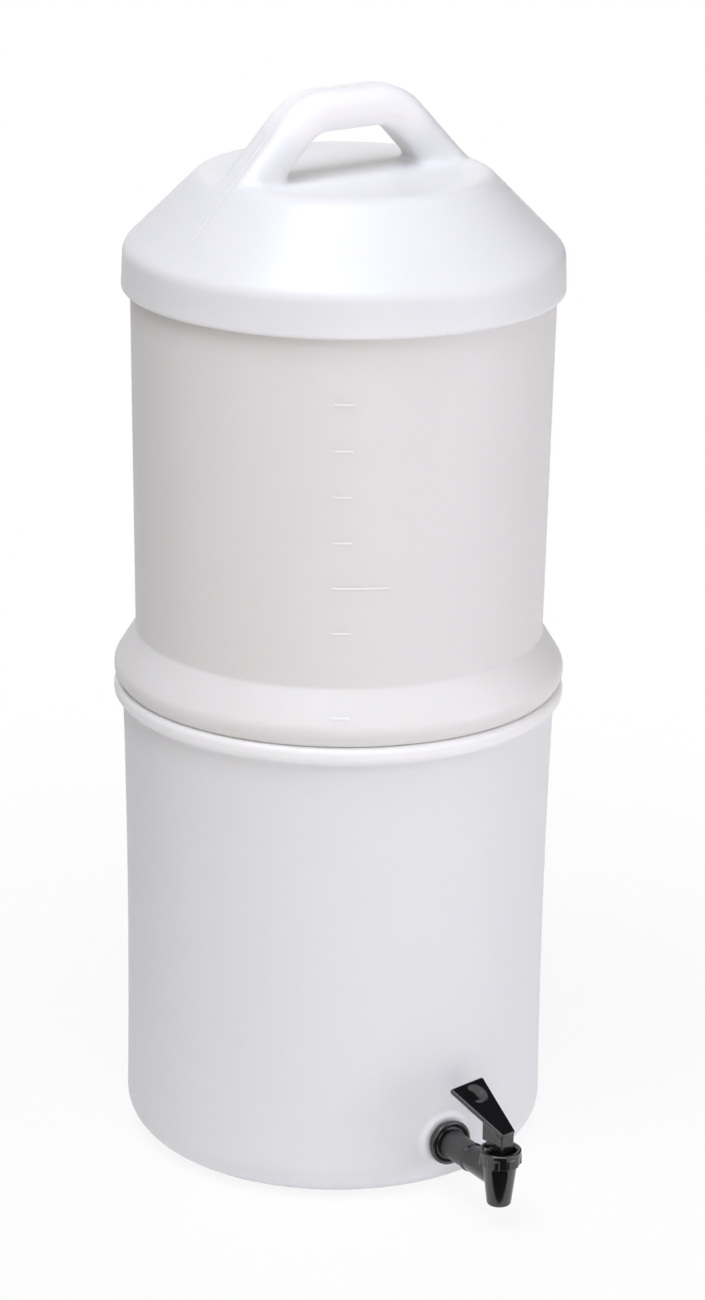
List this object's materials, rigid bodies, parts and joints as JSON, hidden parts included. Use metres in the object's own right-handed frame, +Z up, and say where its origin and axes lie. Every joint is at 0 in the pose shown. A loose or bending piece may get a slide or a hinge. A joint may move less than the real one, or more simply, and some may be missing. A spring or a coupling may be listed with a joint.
{
  "type": "gravity water filter",
  "caption": "Two stacked round plastic tanks with a lift-off lid and carrying grip, ceramic filter candles inside and a self-closing push-lever tap at the foot of the lower tank.",
  "frame": {"origin": "centre of the flat base, on the tanks' axis", "axes": "+Z up along the tanks' axis, the tap points to -Y"},
  "size_m": [0.2696, 0.333, 0.6462],
  "materials": {
    "lid_plastic": "translucent white moulded polyethylene, satin",
    "upper_tank_plastic": "translucent white moulded polyethylene, satin",
    "lower_tank_plastic": "translucent white moulded polyethylene, satin",
    "candle_ceramic": "porous fired ceramic, matt",
    "candle_plastic": "moulded polypropylene",
    "seal_rubber": "soft food-grade rubber",
    "tap_plastic": "black moulded plastic, glossy",
    "washer_rubber": "black rubber",
    "pin_steel": "stainless",
    "stem_plastic": "natural acetal",
    "valve_silicone": "translucent silicone"
  },
  "bodies": {
    "lower_tank": {"lower_tank": "lower_tank_plastic", "tap_body": "tap_plastic", "tap_outer_washer": "washer_rubber", "tap_inner_washer": "washer_rubber", "tap_lock_nut": "tap_plastic", "tap_bonnet": "tap_plastic", "lever_pivot_pin": "pin_steel"},
    "upper_tank": {"upper_tank": "upper_tank_plastic", "candle_1_ceramic": "candle_ceramic", "candle_1_base": "candle_plastic", "candle_1_seal": "seal_rubber", "candle_2_ceramic": "candle_ceramic", "candle_2_base": "candle_plastic", "candle_2_seal": "seal_rubber", "candle_3_ceramic": "candle_ceramic", "candle_3_base": "candle_plastic", "candle_3_seal": "seal_rubber", "candle_nut_washers": "seal_rubber", "candle_wing_nuts": "candle_plastic"},
    "lid": {"lid": "lid_plastic"},
    "lever": {"tap_lever": "tap_plastic", "lever_lift_pin": "pin_steel"},
    "valve": {"valve_stem": "stem_plastic", "valve_seat_cup": "valve_silicone"}
  },
  "joints": [
    {"name": "upper_tank_lift", "type": "slide", "parent": "lower_tank", "child": "upper_tank", "axis": [0, 0, 1], "range_m": [0, 0.2]},
    {"name": "lid_lift", "type": "slide", "parent": "upper_tank", "child": "lid", "axis": [0, 0, 1], "range_m": [0, 0.15]},
    {"name": "lever_press", "type": "hinge", "parent": "lower_tank", "child": "lever", "pos_m": [-0.00104, -0.18061, 0.0492], "axis": [-0.9781, -0.2079, 0], "range_deg": [0, 25]},
    {"name": "valve_lift", "type": "slide", "parent": "lower_tank", "child": "valve", "axis": [0, 0, 1], "range_m": [0, 0.00218], "stiffness_N_per_m": 1000, "springref_m": -0.0005, "deforming": ["valve_seat_cup"]}
  ],
  "couplings": [
    {"joint": "lever_press", "follows": "valve_lift", "rad_per_m": 200}
  ]
}
